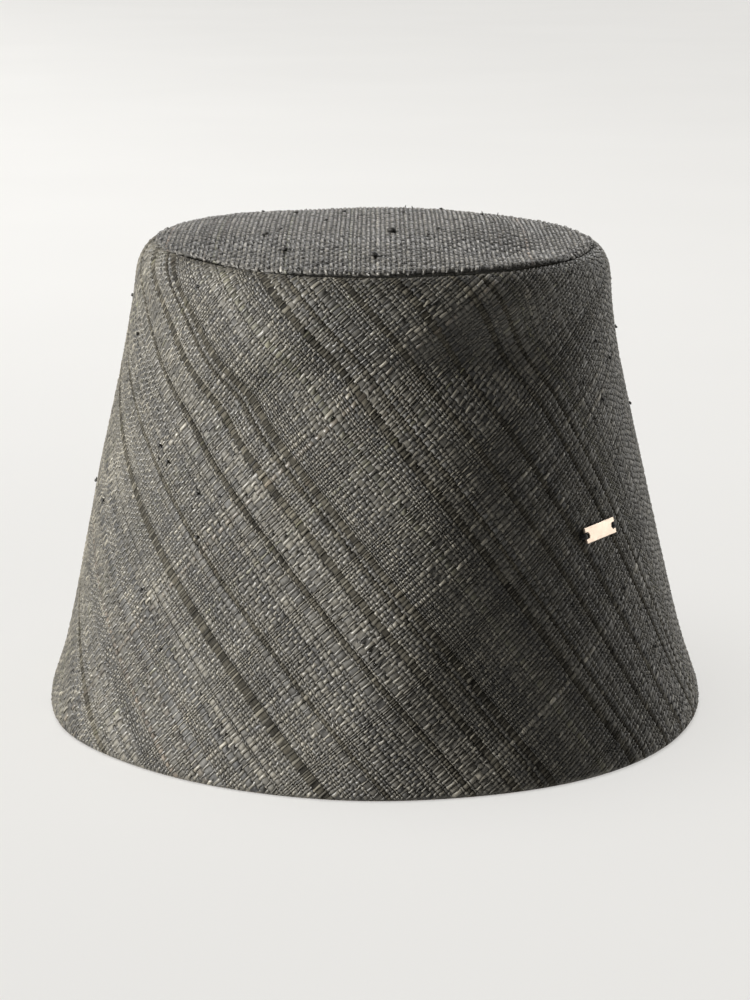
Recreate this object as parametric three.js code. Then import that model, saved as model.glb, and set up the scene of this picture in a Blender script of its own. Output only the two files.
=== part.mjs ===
// A bucket-shaped hat of woven raffia: a flared side wall that is crown and brim in one band,
// an oval tip set into its rounded shoulder, and a small bare metal plate at the right front.
// Millimetres, +Z up. The origin is on the ground at the middle of the rim, the front faces -Y
// and +X is the wearer's left, so the plate sits on the +X side of the front.
import * as THREE from 'three';

// ---- driving sizes -------------------------------------------------------------------------
const OVAL = 1.12;            // depth (Y) over width (X), the same at every height
const STRAW = 1.6;            // thickness of the straw
const GAP = 0.3;              // clearance between neighbouring pieces
const SEAM_HEIGHT = 146.4;    // ground to the seam between side and tip
const TIP_EDGE_LIFT = 0.55;   // how far the tip's sewn edge stands proud of the shoulder
const TIP_PUFF = 5.7;         // rise of the tip's middle over its edge
const TIP_FULLNESS = 3;       // exponent of the tip's dome: higher is flatter with a rounder edge
const SEGMENTS = 96;          // facets round the hat

const PLATE_LENGTH = 16.4;
const PLATE_HEIGHT = 4.8;
const PLATE_THICKNESS = 0.8;
const PLATE_BEVEL = 0.15;
const PLATE_NOTCH_RADIUS = 0.95;
const PLATE_NOTCH_DEPTH = 1.9;
const PLATE_AZIMUTH = 49.3;   // degrees from the front towards +X
const PLATE_Z = 67.4;         // height of its middle
const PLATE_TILT = 2.0;       // degrees, its +X end up

// Outer outline of the side wall: half-width in X at each height, from the rim to the seam.
const OUTLINE = [
  { z: 0.0, halfWidth: 105.0 },
  { z: 4.0, halfWidth: 104.5 },
  { z: 8.0, halfWidth: 103.3 },
  { z: 12.0, halfWidth: 101.9 },
  { z: 16.0, halfWidth: 100.5 },
  { z: 22.0, halfWidth: 98.8 },
  { z: 29.3, halfWidth: 97.0 },
  { z: 51.2, halfWidth: 92.15 },
  { z: 73.2, halfWidth: 87.4 },
  { z: 95.1, halfWidth: 82.5 },
  { z: 117.1, halfWidth: 78.2 },
  { z: 131.7, halfWidth: 75.6 },
  { z: 137.0, halfWidth: 75.0 },
  { z: 140.5, halfWidth: 74.1 },
  { z: 143.3, halfWidth: 72.6 },
  { z: 145.4, halfWidth: 70.6 },
  { z: 146.4, halfWidth: 68.5 },
];

// Soft dents and folds of the side wall. azimuth in degrees from the front towards +X, lean is
// how far the fold runs round in degrees for each millimetre up, depth is inwards.
const WALL_FOLDS = [
  { name: 'shoulder dent', azimuth: 44, z: 127, spread: 13, rise: 8.5, lean: 0.4, depth: 2.8 },
  { name: 'ridge by the dent', azimuth: 51, z: 116, spread: 6, rise: 9.0, lean: 1.3, depth: -0.8 },
  { name: 'slanting trough', azimuth: 30, z: 122, spread: 6, rise: 14.0, lean: -0.82, depth: 0.8 },
  { name: 'left crease', azimuth: -58, z: 118, spread: 4.5, rise: 18.0, lean: -0.95, depth: 0.7 },
  { name: 'left hollow', azimuth: -70, z: 88, spread: 6, rise: 14.0, lean: -0.7, depth: 0.8 },
  { name: 'right lean', azimuth: 92, z: 84, spread: 36, rise: 36.0, lean: 0, depth: 1.2 },
  { name: 'right flat', azimuth: 90, z: 116, spread: 20, rise: 12.0, lean: 0, depth: 0.9 },
  { name: 'left swell', azimuth: -90, z: 84, spread: 36, rise: 36.0, lean: 0, depth: -1.2 },
  { name: 'front crease, left end', azimuth: -29, z: 110, spread: 7.5, rise: 7.5, lean: 0.8, depth: 2.2 },
  { name: 'front crease, left', azimuth: -13, z: 114, spread: 9, rise: 7.5, lean: 0.3, depth: 3.4 },
  { name: 'front crease, middle', azimuth: 6, z: 117, spread: 11, rise: 7.5, lean: 0.1, depth: 4.2 },
  { name: 'front crease, right', azimuth: 26, z: 119, spread: 11, rise: 8.0, lean: 0, depth: 4.4 },
  { name: 'swell left of the crease', azimuth: -31, z: 125, spread: 11, rise: 9.0, lean: 0.8, depth: -1.2 },
  { name: 'low front swell', azimuth: 2, z: 36, spread: 9, rise: 30.0, lean: 0.16, depth: -3.4 },
];

// Where the rim stands fuller than an oval. out is outwards, rise how far up it dies away.
const RIM_SWELLS = [
  { azimuth: 42, spread: 20, rise: 30, out: 3.2 },
  { azimuth: -2, spread: 9, rise: 24, out: 0.7 },
  { azimuth: -64, spread: 10, rise: 20, out: 1.8 },
  { azimuth: 180, spread: 26, rise: 30, out: 0.9 },
];
const LEFT_RISE = 1.7;        // how much higher the -X side of the crown's top is

// Soft dents of the tip, in plan. lean is how far the dent shifts in X for each millimetre in Y.
const TIP_FOLDS = [
  { name: 'long valley', x: -4, y: 5, spreadX: 9, spreadY: 28, lean: -0.26, depth: 1.5 },
  { name: 'right swell', x: 33, y: 16, spreadX: 16, spreadY: 20, lean: 0, depth: -0.7 },
  { name: 'back right fall', x: 50, y: 28, spreadX: 12, spreadY: 20, lean: -0.5, depth: 1.2 },
  { name: 'right end fall', x: 63, y: -10, spreadX: 15, spreadY: 28, lean: 0, depth: 2.2 },
  { name: 'front swell', x: 8, y: -42, spreadX: 18, spreadY: 16, lean: 0, depth: -0.7 },
  { name: 'front right fall', x: 46, y: -44, spreadX: 18, spreadY: 14, lean: 0, depth: 3.0 },
];

// Heights of the facet rings on the side wall, and reach of the rings on the tip (1 is its edge).
const WALL_RINGS = [0, 5, 10, 16, 26, 40, 56, 72, 88, 104, 117, 127, 135, 140.5, 143.9, 146.4];
const TIP_RINGS = [1, 0.975, 0.9, 0.77, 0.6, 0.4, 0.18];

// ---- helpers -------------------------------------------------------------------------------
const rad = (deg) => (deg * Math.PI) / 180;
const bell = (t) => Math.exp(-0.5 * t * t);
const smooth = (t) => { const c = Math.min(1, Math.max(0, t)); return c * c * (3 - 2 * c); };

// Smooth curve through a table's rows that never overshoots between two of them.
function monotoneCurve(rows, xKey, yKey) {
  const n = rows.length;
  const x = rows.map((r) => r[xKey]);
  const y = rows.map((r) => r[yKey]);
  const h = [], d = [];
  for (let i = 0; i < n - 1; i++) { h.push(x[i + 1] - x[i]); d.push((y[i + 1] - y[i]) / h[i]); }
  const m = new Array(n);
  m[0] = d[0];
  m[n - 1] = d[n - 2];
  for (let i = 1; i < n - 1; i++) {
    const w1 = 2 * h[i] + h[i - 1], w2 = h[i] + 2 * h[i - 1];
    m[i] = d[i - 1] * d[i] <= 0 ? 0 : (w1 + w2) / (w1 / d[i - 1] + w2 / d[i]);
  }
  return (t) => {
    let i = 0;
    while (i < n - 2 && t > x[i + 1]) i++;
    const s = (t - x[i]) / h[i], s2 = s * s, s3 = s2 * s;
    return (2 * s3 - 3 * s2 + 1) * y[i] + (s3 - 2 * s2 + s) * h[i] * m[i]
      + (3 * s2 - 2 * s3) * y[i + 1] + (s3 - s2) * h[i] * m[i + 1];
  };
}
const halfWidthAt = monotoneCurve(OUTLINE, 'z', 'halfWidth');

// A point on the oval of half-width a, at azimuth phi (radians), at height z.
const ovalPoint = (a, phi, z) =>
  new THREE.Vector3(a * Math.sin(phi), -OVAL * a * Math.cos(phi), z);

// How far the wall is pushed in at an azimuth and height. It dies away at the rim and the seam.
function wallPush(phi, z) {
  let push = 0;
  for (const f of WALL_FOLDS) {
    let turn = phi - rad(f.azimuth + f.lean * (z - f.z));
    turn = Math.atan2(Math.sin(turn), Math.cos(turn));
    push += f.depth * bell(turn / rad(f.spread)) * bell((z - f.z) / f.rise);
  }
  let swell = 0;
  for (const f of RIM_SWELLS) {
    let turn = phi - rad(f.azimuth);
    turn = Math.atan2(Math.sin(turn), Math.cos(turn));
    swell += f.out * bell(turn / rad(f.spread)) * bell(z / f.rise);
  }
  return push * smooth(z / 25) * smooth((SEAM_HEIGHT - z) / 9) - swell;
}

// The top of the crown is a little higher towards -X.
const topRise = (x, z) => LEFT_RISE * smooth((-x - 20) / 50) * smooth((z - 118) / 24);

// Outer surface of the side wall.
function wallPoint(phi, z) {
  const p = ovalPoint(halfWidthAt(z) - wallPush(phi, z), phi, z);
  p.z += topRise(p.x, z);
  return p;
}

// Outward unit normal of the side wall, from its two tangents.
function wallNormal(phi, z) {
  const e = 0.01, z0 = Math.max(0, z - 0.4), z1 = Math.min(SEAM_HEIGHT, z + 0.4);
  const round = wallPoint(phi + e, z).sub(wallPoint(phi - e, z));
  const up = wallPoint(phi, z1).sub(wallPoint(phi, z0));
  return round.cross(up).normalize();
}

// Height of the tip's outer face. reach runs from 0 in the middle to 1 at its edge.
function tipHeight(x, y, reach) {
  let dip = 0;
  for (const f of TIP_FOLDS) {
    const across = x - f.x - f.lean * (y - f.y);
    dip += f.depth * bell(across / f.spreadX) * bell((y - f.y) / f.spreadY);
  }
  const edge = SEAM_HEIGHT + TIP_EDGE_LIFT;
  return edge + TIP_PUFF * (1 - reach ** TIP_FULLNESS) - dip * smooth((1 - reach) / 0.25)
    + topRise(x, SEAM_HEIGHT);
}

// Joins a list of rings, each a list of SEGMENTS points, into a band. closed joins last to first.
function bandTriangles(rings, closed) {
  const tris = [];
  const last = closed ? rings.length : rings.length - 1;
  for (let i = 0; i < last; i++) {
    const a = rings[i], b = rings[(i + 1) % rings.length];
    for (let k = 0; k < SEGMENTS; k++) {
      const n = (k + 1) % SEGMENTS;
      tris.push([a[k], a[n], b[n]], [a[k], b[n], b[k]]);
    }
  }
  return tris;
}

// Closes a ring with a fan to one point.
function fanTriangles(ring, point, flip) {
  const tris = [];
  for (let k = 0; k < SEGMENTS; k++) {
    const n = (k + 1) % SEGMENTS;
    tris.push(flip ? [ring[n], ring[k], point] : [ring[k], ring[n], point]);
  }
  return tris;
}

function geometryOf(tris) {
  const g = new THREE.BufferGeometry();
  const flat = tris.flat().flatMap((p) => [p.x, p.y, p.z]);
  g.setAttribute('position', new THREE.Float32BufferAttribute(flat, 3));
  g.computeVertexNormals();
  return g;
}

const azimuths = Array.from({ length: SEGMENTS }, (_, k) => (2 * Math.PI * k) / SEGMENTS);

// ---- side wall -----------------------------------------------------------------------------
// Outer skin from the rim up to the seam, then the inner skin back down, as one closed loop.
function sideWall() {
  const outer = WALL_RINGS.map((z) => azimuths.map((phi) => wallPoint(phi, z)));
  const inner = WALL_RINGS.map((z) => azimuths.map((phi) => {
    const n = wallNormal(phi, z);
    if (z === 0) {
      n.z = 0;
      n.normalize();
    }
    return wallPoint(phi, z).addScaledVector(n, -STRAW);
  }));
  return geometryOf(bandTriangles([...outer, ...inner.reverse()], true));
}

// ---- tip -----------------------------------------------------------------------------------
// The tip's edge runs along the end of the shoulder, a gap away from it and slightly higher.
function tipEdge() {
  const end = OUTLINE[OUTLINE.length - 1], before = OUTLINE[OUTLINE.length - 2];
  const slope = new THREE.Vector2(end.halfWidth - before.halfWidth, end.z - before.z).normalize();
  const out = new THREE.Vector2(slope.y, -slope.x);
  const foot = new THREE.Vector2(end.halfWidth, end.z).addScaledVector(slope, GAP * 1.35);
  const top = foot.clone().addScaledVector(out, TIP_EDGE_LIFT);
  const bottom = foot.clone().addScaledVector(out, TIP_EDGE_LIFT - STRAW);
  return { top, bottom };
}

function crownTip() {
  const { top, bottom } = tipEdge();
  const level = top.y - tipHeight(0, 0, 1);
  const ringAt = (reach, drop) => azimuths.map((phi) => {
    const p = ovalPoint(top.x * reach, phi, 0);
    p.z = tipHeight(p.x, p.y, reach) + level - drop;
    return p;
  });
  const upper = TIP_RINGS.map((reach) => ringAt(reach, 0));
  const edgeBelow = azimuths.map((phi) => {
    const p = ovalPoint(bottom.x, phi, bottom.y);
    p.z += topRise(p.x, SEAM_HEIGHT);
    return p;
  });
  const lower = TIP_RINGS.slice(1).map((reach) => ringAt(reach * (bottom.x / top.x), STRAW));
  const crown = new THREE.Vector3(0, 0, tipHeight(0, 0, 0) + level);
  const under = new THREE.Vector3(0, 0, crown.z - STRAW);
  const rings = [...lower.reverse(), edgeBelow, ...upper];
  return geometryOf([
    ...bandTriangles(rings, false),
    ...fanTriangles(rings[rings.length - 1], crown, false),
    ...fanTriangles(rings[0], under, true),
  ]);
}

// ---- plate ---------------------------------------------------------------------------------
function platePlan() {
  const x = PLATE_LENGTH / 2 - PLATE_BEVEL, y = PLATE_HEIGHT / 2 - PLATE_BEVEL;
  const r = PLATE_NOTCH_RADIUS + PLATE_BEVEL;
  const d = PLATE_NOTCH_DEPTH - PLATE_NOTCH_RADIUS;
  const s = new THREE.Shape();
  s.moveTo(-x, -y);
  s.lineTo(x, -y);
  s.lineTo(x, -r);
  s.lineTo(x - d, -r);
  s.absarc(x - d, 0, r, -Math.PI / 2, Math.PI / 2, true);
  s.lineTo(x, r);
  s.lineTo(x, y);
  s.lineTo(-x, y);
  s.lineTo(-x, r);
  s.lineTo(-x + d, r);
  s.absarc(-x + d, 0, r, Math.PI / 2, -Math.PI / 2, true);
  s.lineTo(-x, -r);
  s.closePath();
  return s;
}

function namePlate() {
  return new THREE.ExtrudeGeometry(platePlan(), {
    depth: PLATE_THICKNESS - 2 * PLATE_BEVEL,
    bevelEnabled: true,
    bevelThickness: PLATE_BEVEL,
    bevelSize: PLATE_BEVEL,
    bevelOffset: 0,
    bevelSegments: 1,
    curveSegments: 10,
  }).translate(0, 0, PLATE_BEVEL);
}

// ---- assembly ------------------------------------------------------------------------------
const straw = (color) => new THREE.MeshStandardMaterial({ color, roughness: 0.62, metalness: 0 });

function pieceOf(name, geometry, material) {
  const mesh = new THREE.Mesh(geometry, material);
  mesh.name = name;
  return mesh;
}

const hat = new THREE.Group();
hat.name = 'hat';
hat.add(pieceOf('side_wall', sideWall(), straw(0x4a4840)));
hat.add(pieceOf('crown_tip', crownTip(), straw(0x5c5955)));

// The plate lies on the wall: its own X runs round the hat and its own Z points away from it.
const plateSite = new THREE.Group();
{
  const phi = rad(PLATE_AZIMUTH);
  const away = wallNormal(phi, PLATE_Z);
  const round = new THREE.Vector3(0, 0, 1).cross(away).normalize();
  const up = away.clone().cross(round);
  plateSite.matrixAutoUpdate = true;
  plateSite.quaternion.setFromRotationMatrix(new THREE.Matrix4().makeBasis(round, up, away));
  plateSite.position.copy(wallPoint(phi, PLATE_Z)).addScaledVector(away, GAP);
}
const plate = pieceOf('name_plate', namePlate(),
  new THREE.MeshStandardMaterial({ color: 0xd8c48e, roughness: 0.28, metalness: 0.9 }));
plate.rotation.z = rad(PLATE_TILT);
plateSite.add(plate);
hat.add(plateSite);

export default hat;
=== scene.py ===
import math

import bpy
import numpy as np
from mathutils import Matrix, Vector


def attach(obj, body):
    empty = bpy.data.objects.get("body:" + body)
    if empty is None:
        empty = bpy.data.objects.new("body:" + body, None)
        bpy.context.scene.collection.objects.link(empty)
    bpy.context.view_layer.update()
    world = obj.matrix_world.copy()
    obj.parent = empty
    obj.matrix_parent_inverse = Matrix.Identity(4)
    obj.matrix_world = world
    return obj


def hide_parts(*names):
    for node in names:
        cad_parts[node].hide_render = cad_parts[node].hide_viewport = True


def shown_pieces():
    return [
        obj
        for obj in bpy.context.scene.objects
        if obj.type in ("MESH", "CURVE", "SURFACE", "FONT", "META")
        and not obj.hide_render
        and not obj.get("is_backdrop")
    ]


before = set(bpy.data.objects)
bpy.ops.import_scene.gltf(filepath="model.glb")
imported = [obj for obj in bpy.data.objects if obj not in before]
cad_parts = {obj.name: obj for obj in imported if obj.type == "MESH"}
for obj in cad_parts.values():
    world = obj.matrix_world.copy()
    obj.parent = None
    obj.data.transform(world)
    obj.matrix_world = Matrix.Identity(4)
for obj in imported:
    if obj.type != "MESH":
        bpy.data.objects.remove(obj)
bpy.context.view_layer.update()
scene = bpy.context.scene
MM = 0.001

# ---- the surface, with the values of the CAD part -------------------------------------------
OVAL = 1.12
STRAW = 1.6
GAP = 0.3
SEAM_Z = 146.4
TIP_LIFT = 0.55
TIP_PUFF = 5.7
LEFT_RISE = 1.7
TIP_FULLNESS = 3.0
OUTLINE = [
    (0.0, 105.0), (4.0, 104.5), (8.0, 103.3), (12.0, 101.9), (16.0, 100.5), (22.0, 98.8),
    (29.3, 97.0), (51.2, 92.15), (73.2, 87.4), (95.1, 82.5), (117.1, 78.2), (131.7, 75.6),
    (137.0, 75.0), (140.5, 74.1), (143.3, 72.6), (145.4, 70.6), (146.4, 68.5),
]
# azimuth in degrees from the front towards +X, height, spread in degrees, rise in mm,
# lean in degrees for each mm up, depth in mm inwards
WALL_FOLDS = [
    (44, 127, 13, 8.5, 0.4, 2.8),
    (51, 116, 6, 9.0, 1.3, -0.8),
    (30, 122, 6, 14.0, -0.82, 0.8),
    (-58, 118, 4.5, 18.0, -0.95, 0.7),
    (-70, 88, 6, 14.0, -0.7, 0.8),
    (92, 84, 36, 36.0, 0, 1.2),
    (90, 116, 20, 12.0, 0, 0.9),
    (-90, 84, 36, 36.0, 0, -1.2),
    (-29, 110, 7.5, 7.5, 0.8, 2.2),
    (-13, 114, 9, 7.5, 0.3, 3.4),
    (6, 117, 11, 7.5, 0.1, 4.2),
    (26, 119, 11, 8.0, 0, 4.4),
    (-31, 125, 11, 9.0, 0.8, -1.2),
    (2, 36, 9, 30.0, 0.16, -3.4),
]
# azimuth, spread, how far up it dies away, how far outwards
RIM_SWELLS = [(42, 20, 30, 3.2), (-2, 9, 24, 0.7), (-64, 10, 20, 1.8), (180, 26, 30, 0.9)]
# x, y, spread in x, spread in y, lean, depth
TIP_FOLDS = [
    (-4, 5, 9, 28, -0.26, 1.5),
    (33, 16, 16, 20, 0, -0.7),
    (50, 28, 12, 20, -0.5, 1.2),
    (63, -10, 15, 28, 0, 2.2),
    (8, -42, 18, 16, 0, -0.7),
    (46, -44, 18, 14, 0, 3.0),
]


def bell(t):
    return np.exp(-0.5 * t * t)


def smooth(t):
    c = np.clip(t, 0.0, 1.0)
    return c * c * (3 - 2 * c)


def monotone(rows):
    """Smooth curve through the rows that never overshoots; straight on past both ends."""
    x = np.array([r[0] for r in rows], float)
    y = np.array([r[1] for r in rows], float)
    h, d = np.diff(x), np.diff(y) / np.diff(x)
    m = np.empty_like(x)
    m[0], m[-1] = d[0], d[-1]
    for i in range(1, len(x) - 1):
        w1, w2 = 2 * h[i] + h[i - 1], h[i] + 2 * h[i - 1]
        m[i] = 0 if d[i - 1] * d[i] <= 0 else (w1 + w2) / (w1 / d[i - 1] + w2 / d[i])

    def at(t):
        t = np.asarray(t, float)
        c = np.clip(t, x[0], x[-1])
        i = np.clip(np.searchsorted(x, c) - 1, 0, len(x) - 2)
        s = (c - x[i]) / h[i]
        s2, s3 = s * s, s * s * s
        v = (
            (2 * s3 - 3 * s2 + 1) * y[i] + (s3 - 2 * s2 + s) * h[i] * m[i]
            + (3 * s2 - 2 * s3) * y[i + 1] + (s3 - s2) * h[i] * m[i + 1]
        )
        return v + np.where(t < x[0], (t - x[0]) * m[0], 0) + np.where(t > x[-1], (t - x[-1]) * m[-1], 0)

    return at


half_width = monotone(OUTLINE)


def wall_push(phi, z):
    push = 0
    for az, z0, spread, rise, lean, depth in WALL_FOLDS:
        turn = phi - np.radians(az + lean * (z - z0))
        turn = np.arctan2(np.sin(turn), np.cos(turn))
        push = push + depth * bell(turn / math.radians(spread)) * bell((z - z0) / rise)
    swell = 0
    for az, spread, rise, out in RIM_SWELLS:
        turn = phi - math.radians(az)
        turn = np.arctan2(np.sin(turn), np.cos(turn))
        swell = swell + out * bell(turn / math.radians(spread)) * bell(z / rise)
    return push * smooth(z / 25) * smooth((SEAM_Z - z) / 9) - swell


def top_rise(x, z):
    return LEFT_RISE * smooth((-x - 20) / 50) * smooth((z - 118) / 24)


def oval(a, phi, z):
    return np.stack([a * np.sin(phi), -OVAL * a * np.cos(phi), z + 0 * phi], -1)


def wall_point(phi, z):
    p = oval(half_width(z) - wall_push(phi, z), phi, z)
    p[..., 2] += top_rise(p[..., 0], z)
    return p


def unit(v):
    return v / np.maximum(np.linalg.norm(v, axis=-1, keepdims=True), 1e-12)


def wall_normal(phi, z):
    z0, z1 = np.maximum(z - 0.3, 0.0), np.minimum(z + 0.3, SEAM_Z)
    across = wall_point(phi + 0.004, z) - wall_point(phi - 0.004, z)
    up = wall_point(phi, z1) - wall_point(phi, z0)
    return unit(np.cross(across, up))


_end, _before = OUTLINE[-1], OUTLINE[-2]
_slope = np.array([_end[1] - _before[1], _end[0] - _before[0]])
_slope = _slope / np.linalg.norm(_slope)
_out = np.array([_slope[1], -_slope[0]])
_foot = np.array([_end[1], _end[0]]) + _slope * GAP * 1.35
TIP_A, TIP_Z = _foot + _out * TIP_LIFT          # the tip's edge: half-width and height
TIP_IN_A, TIP_IN_Z = _foot + _out * (TIP_LIFT - STRAW)


def tip_height(x, y, reach):
    dip = 0
    for x0, y0, sx, sy, lean, depth in TIP_FOLDS:
        across = x - x0 - lean * (y - y0)
        dip = dip + depth * bell(across / sx) * bell((y - y0) / sy)
    r = np.clip(reach, 0, 1)
    return TIP_Z + TIP_PUFF * (1 - r**TIP_FULLNESS) - dip * smooth((1 - r) / 0.25) + top_rise(x, SEAM_Z)


# ---- meshes ----------------------------------------------------------------------------------
def make_mesh(name, verts, faces, material, corner_normals=None, tint=None, uvs=None, flat=False):
    """verts in mm, faces an (n, 3) or (n, 4) array or a list of such arrays."""
    groups = [f for f in (faces if isinstance(faces, list) else [faces]) if len(f)]
    counts = np.concatenate([np.full(len(f), f.shape[1], np.int32) for f in groups])
    loops = np.concatenate([f.ravel() for f in groups]).astype(np.int32)
    me = bpy.data.meshes.new(name)
    me.vertices.add(len(verts))
    me.vertices.foreach_set("co", (np.asarray(verts, float) * MM).astype(np.float32).ravel())
    me.loops.add(len(loops))
    me.loops.foreach_set("vertex_index", loops)
    me.polygons.add(len(counts))
    starts = np.concatenate([[0], np.cumsum(counts)[:-1]]).astype(np.int32)
    me.polygons.foreach_set("loop_start", starts)
    me.polygons.foreach_set("loop_total", counts)
    me.update(calc_edges=True)
    me.polygons.foreach_set("use_smooth", np.full(len(counts), not flat, bool))
    for uv_name, uv in (uvs or {}).items():
        layer = me.uv_layers.new(name=uv_name, do_init=False)
        layer.uv.foreach_set("vector", np.asarray(uv, np.float32).ravel())
    if tint is not None:
        layer = me.color_attributes.new(name="tint", type="FLOAT_COLOR", domain="CORNER")
        rgba = np.ones((len(loops), 4), np.float32)
        rgba[:, :3] = tint
        layer.data.foreach_set("color", rgba.ravel())
    me.validate(clean_customdata=False)
    if corner_normals is not None:
        me.normals_split_custom_set(np.asarray(corner_normals, float).tolist())
    me.materials.append(material)
    ob = bpy.data.objects.new(name, me)
    scene.collection.objects.link(ob)
    return ob


def tangents(grid, border, bulge):
    """Directions along axis 0 of a grid of points, for the start and the end of each step. They are
    smooth inside a strand and break at its borders, where the strand curves away."""
    step = unit(grid[1:] - grid[:-1])
    mid = np.concatenate([step[:1], unit(step[1:] + step[:-1]), step[-1:]])
    edge = border[:, None, None]
    start = np.where(edge[:-1], unit(bulge * step - (bulge - 1) * mid[1:]), mid[:-1])
    end = np.where(edge[1:], unit(bulge * step - (bulge - 1) * mid[:-1]), mid[1:])
    return start, end


def smooth_noise(rng, count, length, wave_list, amp_list):
    """count rows of a smooth random curve, sampled at the positions in length."""
    out = np.zeros((count, len(length)))
    for wave, amp in zip(wave_list, amp_list):
        phase = rng.uniform(0, 2 * math.pi, (count, 1))
        stretch = rng.uniform(0.75, 1.3, (count, 1))
        size = rng.normal(0, 1, (count, 1))
        out += amp * size * np.sin(2 * math.pi * stretch * length[None, :] / wave + phase)
    return out


def strand_widths(rng, total, mean, spread, low, high, kin, fine=0.0, fat=0.0):
    """Widths of neighbouring strands, alike in runs, that together cover total. fine is the share
    of strands that start a run of very narrow ones, fat the share of very wide ones."""
    out, state, run = [], 0.0, 0
    while sum(out) < total:
        state = kin * state + math.sqrt(1 - kin * kin) * rng.normal()
        w = mean * math.exp(spread * (0.75 * state + 0.66 * rng.normal()))
        if run > 0:
            w = rng.uniform(0.58, 0.92)
            run -= 1
        elif rng.uniform() < fine:
            run = int(rng.integers(1, 4))
        elif rng.uniform() < fat:
            w = mean * rng.uniform(1.55, 2.1)
        out.append(min(high, max(low, w)))
    return np.array(out)


def place_strands(start, widths, wanted):
    """Makes room for the strands in wanted, given by middle, width and brightness. Gives all the
    widths, which strands are the wanted ones, and every strand's brightness."""
    lines = start + np.concatenate([[0], np.cumsum(widths)])
    for mid, w, _ in wanted:
        lo, hi = mid - w / 2, mid + w / 2
        lines = np.sort(np.append(lines[(lines < lo - 0.4) | (lines > hi + 0.4)], (lo, hi)))
    chosen = np.zeros(len(lines) - 1, bool)
    bright = np.ones(len(lines) - 1)
    for mid, _, tone in wanted:
        chosen[np.searchsorted(lines, mid) - 1] = True
        bright[np.searchsorted(lines, mid) - 1] = tone
    return np.diff(lines), chosen, bright


def strand_nodes(widths, part, most, narrow):
    """Mesh lines across each strand: its border, then a line a little in from both of its edges,
    or only its middle line if it is narrow. Gives each line's strand, place in it and border or not."""
    cell, frac, border = [], [], []
    for i, w in enumerate(widths):
        e = min(part, most / w)
        inner = [0.5] if w < narrow else [e, 1 - e]
        for f in [0.0] + inner:
            cell.append(i)
            frac.append(f)
            border.append(f == 0.0)
    cell.append(len(widths) - 1)
    frac.append(1.0)
    border.append(True)
    return np.array(cell), np.array(frac), np.array(border)


def cloud(u, v, seed, wave):
    """Soft blotches over a surface, about -1 to 1."""
    rng = np.random.default_rng(seed)
    out = 0
    for _ in range(9):
        turn, size = rng.uniform(0, 2 * math.pi), wave * rng.uniform(0.7, 1.6)
        out = out + np.sin(2 * math.pi * (u * math.cos(turn) + v * math.sin(turn)) / size + rng.uniform(0, 6.28))
    return out / 3.0


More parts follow.
